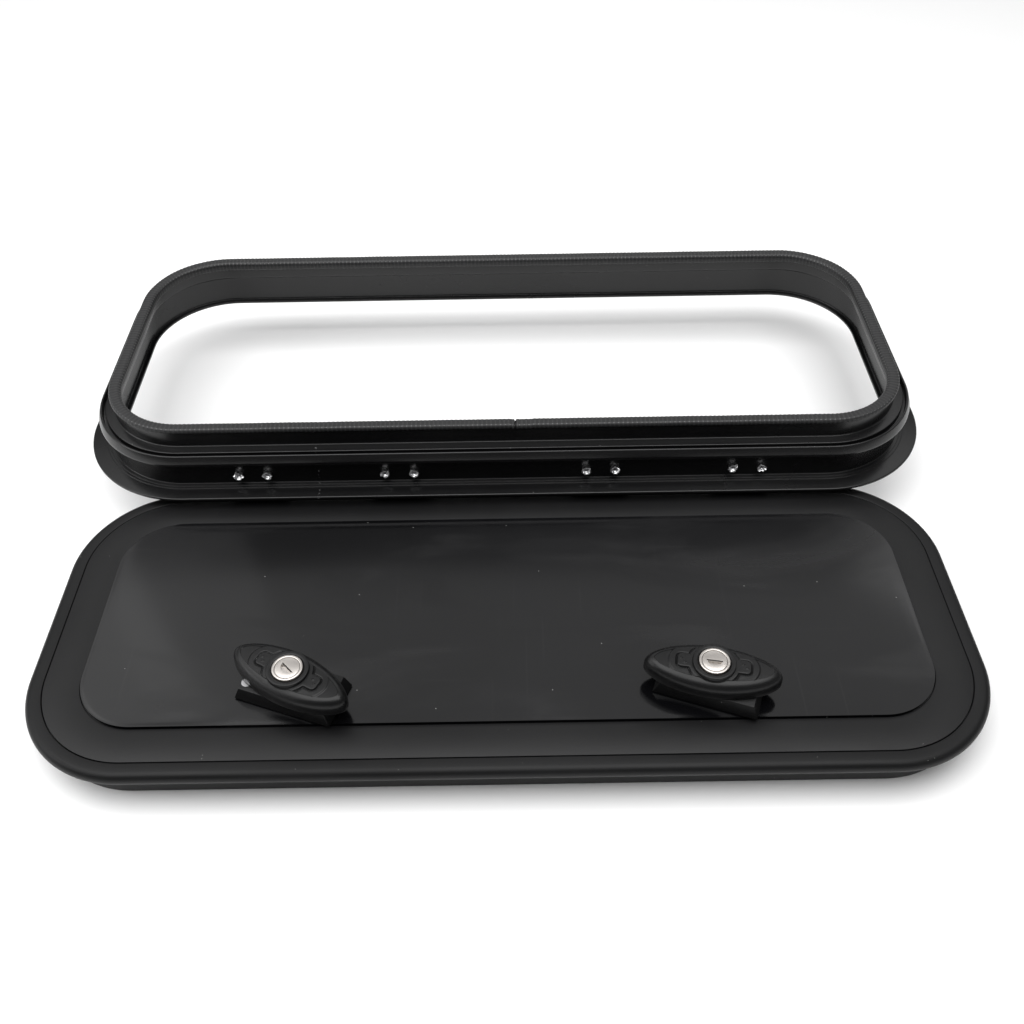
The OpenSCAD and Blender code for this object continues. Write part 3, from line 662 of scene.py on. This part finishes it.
panel = {
    "radius": 37.0,
    "cornerSteps": 26,
    "thick": 3.0,
    "rise": panelHigh.z - lid["face"],
    "edge": 1.45,
    "lip": 1.6,
    "crown": ((1.0, 0.4), (1.5, 0.3), (6, 0.2), (16, 0.1)),
    "sleeveHole": 8.7,
    "screwHole": 2.05,
    "screws": ((-25.0, -8.0), (25.0, 1.0)),
}


def turned(place, degrees):
    return Matrix.Rotation(math.radians(degrees), 2) @ Vector(place)


def buildPanel():
    low = lid["face"] + panel["rise"] - panel["thick"]
    bm = bmesh.new()
    size = panelHigh - panelLow
    corners = bmesh.ops.create_grid(bm, x_segments=1, y_segments=1, size=0.5)["verts"]
    bmesh.ops.scale(bm, verts=corners, vec=(size.x, size.y, 1))
    middle = (panelHigh + panelLow) / 2
    bmesh.ops.translate(bm, verts=corners, vec=(middle.x, middle.y, low))
    bmesh.ops.bevel(
        bm, geom=corners, offset=panel["radius"], offset_type="OFFSET", affect="VERTICES",
        segments=panel["cornerSteps"], profile=0.5, material=-1,
    )
    raised = bmesh.ops.extrude_face_region(bm, geom=list(bm.faces))["geom"]
    top = [g for g in raised if isinstance(g, bmesh.types.BMFace)]
    bmesh.ops.translate(bm, verts=onlyVerts(raised), vec=(0, 0, lid["face"] + panel["edge"] - low))
    bmesh.ops.recalc_face_normals(bm, faces=bm.faces)
    inset = panel["lip"] - panel["crown"][0][0]
    level = lid["face"] + panel["edge"]
    total = panel["rise"] - panel["edge"]
    given = sum(s[1] for s in panel["crown"])
    bmesh.ops.inset_region(bm, faces=top, thickness=inset, depth=0, use_even_offset=True)
    for across, rise in panel["crown"]:
        bmesh.ops.inset_region(bm, faces=top, thickness=across, depth=0, use_even_offset=True)
        level += rise / given * total
        for v in top[0].verts:
            v.co.z = level
    cutter = bmesh.new()
    for centre in lock["at"].values():
        addRod(cutter, panel["sleeveHole"], low - 1, level + 1, centre, 48)
        for screw in panel["screws"]:
            spot = centre + turned(screw, -lock["baseTurn"])
            addRod(cutter, panel["screwHole"], low - 1, level + 1, spot, 20)
    return makePiece("lidPanel", bm, "lid", "panelGloss", ["lid_panel"], cutter, 24)


buildLidFrame()
buildRimSeal()
buildPanel()
print("lid built")

# turn knobs

knob = {
    "length": 80.0,
    "width": 33.0,
    "squareness": 1.8,
    "segments": 240,
    "rings": 76,
    "skirt": ((0.5, 0.0), (0.12, 0.25), (0.0, 0.7), (0.0, 3.2), (0.1, 4.6)),
    "domeHigh": 11.6,
    "domeSteps": 10,
    "domeShare": 0.9,
    "round": 6.5,
    "hubOut": 12.6,
    "hubRise": 2.3,
    "hubProfile": (
        (12.55, -0.5), (12.3, -0.1), (12.0, 0.0), (10.6, 0.0), (10.1, -0.1), (9.6, -0.45), (9.12, -1.1),
        (9.12, -9.0),
    ),
    "underside": (  # radius, shrink and height; the radius 99 follows the oval
        (99, 2.6, 0.0), (99, 3.0, 4.6), (14.2, 3.0, 4.6), (14.2, 3.0, 2.5), (13.5, 3.0, 2.5),
    ),
    "plateRise": 0.45,
    "plateRound": 15.2,
    "plateReach": 21.6,
    "plateHalf": 5.0,
    "lineDeep": 0.75,
    "lineWide": 0.5,
    "thumbDeep": 0.5,
    "thumbAt": 26.5,
    "thumbEdge": 0.83,
    "thumbBow": 0.9,
    "thumbWide": 4.2,
    "grooveDeep": 0.5,
    "grooveWide": 0.45,
    "bumps": ((16.8, 1.5), (19.0, -0.8)),
    "bumpHigh": 0.45,
    "turn": {"left": -29.4, "right": -10.2},
}
knobLow = boxInMm("knob_left")[0].z
cylinderTop = boxInMm("lock_cylinder_left")[1].z
hubTop = cylinderTop - 0.8


def softStep(value, low, high):
    t = min(1.0, max(0.0, (value - low) / (high - low)))
    return t * t * (3 - 2 * t)


def ovalPoint(angle, halfLong, halfShort):
    power = 2 / knob["squareness"]
    c, s = math.cos(angle), math.sin(angle)
    along = math.copysign(halfLong * abs(c) ** power, c)
    across = math.copysign(halfShort * abs(s) ** power, s)
    return Vector((along, across))


def ovalAngle(place, halfLong, halfShort):
    power = knob["squareness"] / 2
    up = math.copysign((abs(place.y) / halfShort) ** power, place.y)
    return math.atan2(up, math.copysign((abs(place.x) / halfLong) ** power, place.x))


def knobRelief(x, y):
    # height added to the crown: the raised plate, its engraved outline, thumb hollows and small bumps
    out = math.hypot(x, y)
    tabX, tabY = abs(x) - knob["plateReach"] + 3, abs(y) - knob["plateHalf"] + 3
    tab = math.hypot(max(tabX, 0), max(tabY, 0)) + min(max(tabX, tabY), 0) - 3
    edge = min(out - knob["plateRound"], tab)
    relief = knob["plateRise"] * (1 - softStep(edge, -0.5, 0.1))
    relief -= knob["lineDeep"] * math.exp(-((edge / knob["lineWide"]) ** 2))
    power = knob["squareness"]
    rim = (abs(x) * 2 / knob["length"]) ** power + (abs(y) * 2 / knob["width"]) ** power
    bow = knob["thumbAt"] - (y / knob["thumbWide"]) ** 2 * knob["thumbBow"]
    thumbEdge = knob["thumbEdge"]
    groove = math.exp(-(((abs(x) - bow) / knob["grooveWide"]) ** 2))
    relief -= knob["grooveDeep"] * groove * (1 - softStep(rim, thumbEdge - 0.05, thumbEdge))
    hollow = softStep(abs(x), bow, bow + 0.6) * (1 - softStep(rim, thumbEdge - 0.03, thumbEdge + 0.02))
    relief -= knob["thumbDeep"] * hollow
    side = math.copysign(1, x)
    for bumpX, bumpY in knob["bumps"]:
        away = math.hypot(x - side * bumpX, y - side * bumpY)
        relief += knob["bumpHigh"] * (1 - softStep(away, 0.4, 0.9))
    return relief


def growLoop(bm, loop, place):
    grown = bmesh.ops.extrude_edge_only(bm, edges=loop)["geom"]
    for v in onlyVerts(grown):
        v.co = place(v.co)
    return [e for e in onlyEdges(grown) if e.is_boundary]


def buildKnob(sideName):
    halfLong, halfShort = knob["length"] / 2, knob["width"] / 2
    bm = bmesh.new()
    start = bmesh.ops.create_circle(bm, cap_ends=False, segments=knob["segments"], radius=1.0)["verts"]
    firstShrink = knob["skirt"][0][0]
    for v in start:
        first = ovalPoint(math.atan2(v.co.y, v.co.x), halfLong - firstShrink, halfShort - firstShrink)
        v.co = (*first, knobLow)
    under = loop = list(bm.edges)
    skirt = list(knob["skirt"])
    domeInset, domeFrom = skirt[-1]
    for step in range(1, knob["domeSteps"]):
        swing = math.pi / 2 * step / knob["domeSteps"]
        inset = domeInset + knob["round"] * (1 - math.cos(swing))
        skirt.append((inset, domeFrom + (knob["domeHigh"] - domeFrom) * knob["domeShare"] * math.sin(swing)))
    for (was, _), (shrink, rise) in zip(skirt, skirt[1:]):
        def ringAt(co, was=was, shrink=shrink, rise=rise):
            angle = ovalAngle(co, halfLong - was, halfShort - was)
            return Vector((*ovalPoint(angle, halfLong - shrink, halfShort - shrink), knobLow + rise))
        loop = growLoop(bm, loop, ringAt)
    last, edgeHigh = skirt[-1][0], knobLow + skirt[-1][1]
    spanLong, spanShort = halfLong - last, halfShort - last
    crown = hubTop - knob["hubRise"]
    rays = {}
    for v in {v for e in loop for v in e.verts}:
        rays[round(math.atan2(v.co.y, v.co.x), 4)] = v.co.to_2d()
    for step in range(1, knob["rings"] + 1):
        share = step / knob["rings"]

        def crownAt(co, share=share):
            start = rays[round(math.atan2(co.y, co.x), 4)]
            along = start.normalized()
            spot = along * (max(start.length, knob["hubOut"] + 0.3) * (1 - share) + knob["hubOut"] * share)
            inward = 1 - math.hypot(spot.x / spanLong, spot.y / spanShort)
            height = edgeHigh + (crown - edgeHigh) * softStep(inward, -0.3, 0.55)
            return Vector((spot.x, spot.y, height + knobRelief(spot.x, spot.y)))
        loop = growLoop(bm, loop, crownAt)
    for radius, drop in knob["hubProfile"]:
        def hubAt(co, radius=radius, drop=drop):
            return Vector((*(co.to_2d().normalized() * radius), hubTop + drop))
        loop = growLoop(bm, loop, hubAt)
    for radius, shrink, rise in knob["underside"]:
        def underAt(co, radius=radius, shrink=shrink, rise=rise):
            flat = co.to_2d()
            if radius > halfLong:
                flat = ovalPoint(ovalAngle(flat, halfLong, halfShort), halfLong - shrink, halfShort - shrink)
            return Vector((*(flat.normalized() * min(radius, flat.length)), knobLow + rise))
        under = growLoop(bm, under, underAt)
    bmesh.ops.bridge_loops(bm, edges=loop + under)
    bmesh.ops.remove_doubles(bm, verts=bm.verts, dist=0.0005)
    bmesh.ops.recalc_face_normals(bm, faces=bm.faces)
    placeAtLock(bm, sideName, knob["turn"][sideName])
    body = f"knob_{sideName}_turn"
    makePiece(f"knob.{sideName}", bm, body, "knobBlack", [f"knob_{sideName}"], None, 50)


def placeAtLock(bm, sideName, degrees):
    turn = Matrix.Rotation(math.radians(degrees), 3, "Z")
    bmesh.ops.rotate(bm, verts=bm.verts, cent=(0, 0, 0), matrix=turn)
    bmesh.ops.translate(bm, verts=bm.verts, vec=lock["at"][sideName].to_3d())


for sideName in sides:
    buildKnob(sideName)
print("knobs built")

# lock cylinders and key plugs

keyFace = {
    "outer": 9.05,
    "plug": 7.3,
    "slotLong": 9.2,
    "slotWide": 0.8,
    "slotDeep": 6,
    "moon": 4.0,
    "moonDrop": 0.56,
    "moonFlat": 0.68,
    "moonDeep": 1.5,
    "plugTurn": {"left": -47.4, "right": -10.2},
}


def buildCylinder(sideName):
    node = f"lock_cylinder_{sideName}"
    low, top = boxInMm(node)[0].z, boxInMm(node)[1].z
    outer, bore = keyFace["outer"], keyFace["plug"] + 0.06
    bm = bmesh.new()
    spunShape(bm, [
        (3.05, low), (outer, low), (outer, top - 0.55), (outer - 0.2, top - 0.18), (outer - 0.55, top),
        (bore + 0.3, top), (bore + 0.08, top - 0.12), (bore, top - 0.4), (bore, low + 1), (3.05, low + 1),
        (3.05, low),
    ], 64)
    placeAtLock(bm, sideName, knob["turn"][sideName])
    makePiece(f"lockCylinder.{sideName}", bm, f"knob_{sideName}_turn", "keyNickel", [node])


def buildPlug(sideName):
    node = f"key_plug_{sideName}"
    low, top = boxInMm(node)[0].z, boxInMm(node)[1].z
    reach = keyFace["plug"]
    bm = bmesh.new()
    spunShape(bm, [
        (0, low), (2.9, low), (2.9, low + 1.2), (reach, low + 1.2), (reach, top - 0.35),
        (reach - 0.12, top - 0.12), (reach - 0.4, top), (0, top),
    ], 64)
    placeAtLock(bm, sideName, keyFace["plugTurn"][sideName])
    cutter = bmesh.new()
    halfLong, halfWide = keyFace["slotLong"] / 2, keyFace["slotWide"] / 2
    addBlock(cutter, (-halfLong, -halfWide, top - keyFace["slotDeep"]), (halfLong, halfWide, top + 1))
    radius, floorAt = keyFace["moon"], top - keyFace["moonDeep"]
    moon = []  # kept clear of the slot, so the two cutters don't meet
    for k in range(17):
        t = math.pi * k / 16
        across = -keyFace["moonDrop"] - keyFace["moonFlat"] * radius * math.sin(t)
        moon.append(cutter.verts.new((radius * math.cos(t), across, floorAt)))
    cutter.faces.new(moon)
    raised = [cutter.verts.new(v.co + Vector((0, 0, 3))) for v in moon]
    cutter.faces.new(raised)
    for k, v in enumerate(moon):
        cutter.faces.new((moon[k - 1], v, raised[k], raised[k - 1]))
    bmesh.ops.recalc_face_normals(cutter, faces=cutter.faces)
    placeAtLock(cutter, sideName, keyFace["plugTurn"][sideName])
    makePiece(f"keyPlug.{sideName}", bm, f"plug_{sideName}", "keyNickel", [node], cutter)


for sideName in sides:
    buildCylinder(sideName)
    buildPlug(sideName)
print("lock faces built")

# blind rivets through the frame wall

rivet = {
    "spots": (-61, -41, 41, 61),
    "steps": 36,
    "profile": [
        (0, 1.2), (1.6, 1.15), (2.8, 0.85), (3.5, 0.4), (3.8, 0), (2.0, 0), (2.0, -2.9), (2.6, -3.0),
        (3.0, -3.5), (3.15, -4.4), (3.05, -5.2), (3.15, -6.0), (3.35, -6.6), (3.3, -7.0), (2.9, -7.2),
        (2.4, -7.0), (2.0, -6.2), (1.7, -5.2), (1.1, -4.6), (0.9, -5.3), (0, -5.4),
    ],
    "headHigh": 1.2,
    "seed": {"left": 40, "right": 50},
    "tearFrom": 5.4,
    "tearTo": 7.0,
    "tearLong": 1.6,
    "tearFlare": 0.22,
}


def buildRivets(sideName):
    node = f"frame_rivets_{sideName}"
    low, high = boxInMm(node)
    whole = bmesh.new()
    for index, spot in enumerate(rivet["spots"]):
        torn = random.Random(rivet["seed"][sideName] + index)
        ragged = [torn.uniform(-1, 1) for _ in range(5)]
        single = bmesh.new()
        spunShape(single, rivet["profile"], rivet["steps"], (0, 1, 0))
        for v in single.verts:
            if v.co.y < -rivet["tearFrom"] and math.hypot(v.co.x, v.co.z) > 1.5:
                angle = math.atan2(v.co.z, v.co.x)
                tear = sum(r * math.sin((k + 2) * angle + 2.1 * k) for k, r in enumerate(ragged)) / 3
                fade = softStep(-v.co.y, rivet["tearFrom"], rivet["tearTo"])
                v.co.y += rivet["tearLong"] * fade * abs(tear)
                v.co.x *= 1 + rivet["tearFlare"] * fade * tear
                v.co.z *= 1 + rivet["tearFlare"] * fade * tear
        place = (hinge["at"][sideName] + spot, high.y - rivet["headHigh"], (low.z + high.z) / 2)
        bmesh.ops.translate(single, verts=single.verts, vec=place)
        part = bpy.data.meshes.new("part")
        single.to_mesh(part)
        single.free()
        whole.from_mesh(part)
        bpy.data.meshes.remove(part)
    makePiece(f"frameRivets.{sideName}", whole, "frame", "rivetAlu", [node])


for sideName in sides:
    buildRivets(sideName)
print("rivets built")

# CAD hardware with softened edges


def softened(node, body, finish, width, shortest):
    bm = bmesh.new()
    bm.from_mesh(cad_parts[node].data)
    bmesh.ops.scale(bm, verts=bm.verts, vec=(1 / mm, 1 / mm, 1 / mm))
    bmesh.ops.remove_doubles(bm, verts=bm.verts, dist=0.001)
    bmesh.ops.dissolve_limit(bm, angle_limit=math.radians(1), verts=bm.verts, edges=bm.edges)
    folds = [e for e in bm.edges if e.is_manifold and e.calc_face_angle(0) > math.radians(30)]
    corners = [e for e in folds if e.calc_length() > shortest]
    bmesh.ops.bevel(
        bm, geom=corners, offset=width, offset_type="OFFSET", affect="EDGES", segments=3, profile=0.5,
        material=-1, clamp_overlap=True,
    )
    first, last = node.rsplit("_", 1)
    makePiece(f"{first}.{last}", bm, body, finish, [node])


for sideName in sides:
    softened(f"hinge_frame_leaf_{sideName}", "frame", "hingeBlack", 0.3, 6)
    softened(f"hinge_lid_leaf_{sideName}", "lid", "hingeBlack", 0.3, 6)
    softened(f"lock_base_{sideName}", "lid", "lockBlack", 0.8, 8)
    softened(f"lock_nut_{sideName}", "lid", "zinc", 0.4, 5)
    softened(f"cam_{sideName}", f"knob_{sideName}_turn", "zinc", 0.4, 6)
plainNodes = {
    "lid_liner": "linerAbs",
    "liner_screws": "steel",
    "hinge_pin": "steel",
    "lid_rivets": "rivetAlu",
    "base_gasket": "gasketFoam",
    "base_screws": "steel",
    "lock_washer": "steel",
    "spindle": "zinc",
    "knob_screws": "steel",
    "cam_screw": "steel",
}
for nodeName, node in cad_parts.items():
    key = nodeName.rsplit("_", 1)[0] if nodeName not in plainNodes else nodeName
    if key in plainNodes:
        node.data.materials.clear()
        node.data.materials.append(finishes[plainNodes[key]]["material"])
print("hardware finished")

# extra detail in single materials


def detailTrim():
    made = finishes["trimRubber"]
    tree = made["tree"]
    along = addNode(tree, "ShaderNodeAttribute", {"attribute_name": "along"}).outputs["Fac"]
    across = addNode(tree, "ShaderNodeAttribute", {"attribute_name": "across"}).outputs["Fac"]
    phase = maths(tree, "MULTIPLY", along, 2 * math.pi / trim["ribPitch"])
    crest = ramp(tree, maths(tree, "COSINE", phase), 0.2, 1.0)
    mixOver(made, maths(tree, "MULTIPLY", crest, 0.35), (0.05, 0.05, 0.051))
    # rows of bright dots where the rib crests turn over the trim's rounded edges: painted highlights in the
    # base colour
    glintPhase = maths(tree, "MULTIPLY", along, 2 * math.pi / trim["paintedGlintPitch"])
    paintedGlint = ramp(tree, maths(tree, "SINE", glintPhase), 0.55, 0.95)
    rows = None
    for line in trim["paintedGlintRows"]:
        near = ramp(tree, maths(tree, "ABSOLUTE", maths(tree, "SUBTRACT", across, line)), 0.15, 0.4, 1.0, 0.0)
        rows = near if rows is None else maths(tree, "MAXIMUM", rows, near)
    paintedGlints = maths(tree, "MULTIPLY", paintedGlint, rows)
    mixOver(made, maths(tree, "MULTIPLY", paintedGlints, 0.55), (0.16, 0.16, 0.16))


weld = {"at": -0.130, "near": 0.0003, "far": 0.0011, "behind": 0.01, "nickScale": 420}  # metres


def detailFrame():
    # the frame's butt weld, seen as a broken line of bright nicks
    made = finishes["frameAlu"]
    tree = made["tree"]
    place = addNode(tree, "ShaderNodeTexCoord").outputs["Object"]
    axes = addNode(tree, "ShaderNodeSeparateXYZ", None, Vector=place)
    fromSeam = maths(tree, "ABSOLUTE", maths(tree, "SUBTRACT", axes.outputs["X"], weld["at"]))
    nearSeam = ramp(tree, fromSeam, weld["near"], weld["far"], 1.0, 0.0)
    front = maths(tree, "LESS_THAN", axes.outputs["Y"], weld["behind"])
    nicks = addNode(tree, "ShaderNodeTexNoise", None, Vector=place)
    nicks.inputs["Scale"].default_value = weld["nickScale"]
    shown = ramp(tree, nicks.outputs["Fac"], 0.6, 0.68)
    seam = maths(tree, "MULTIPLY", nearSeam, front)
    mixOver(made, maths(tree, "MULTIPLY", seam, shown), (0.12, 0.12, 0.12))


detailTrim()
detailFrame()

floorSize = 40.0
floorDrop = 0.0002  # keeps the floor just clear of the part
floorMesh = bmesh.new()
bmesh.ops.create_grid(floorMesh, x_segments=1, y_segments=1, size=floorSize / 2)
floor = bpy.data.objects.new("floor", bpy.data.meshes.new("floor"))
floorMesh.to_mesh(floor.data)
floorMesh.free()
floorPaint = bpy.data.materials.new("floorPaint")
floorPaint.use_nodes = True
floorShader = floorPaint.node_tree.nodes["Principled BSDF"]
floorShader.inputs["Base Color"].default_value = (0.92, 0.92, 0.92, 1)
floorShader.inputs["Roughness"].default_value = 0.7
floor.data.materials.append(floorPaint)
floor.location.z = -floorDrop
scene.collection.objects.link(floor)

print("scene ready")
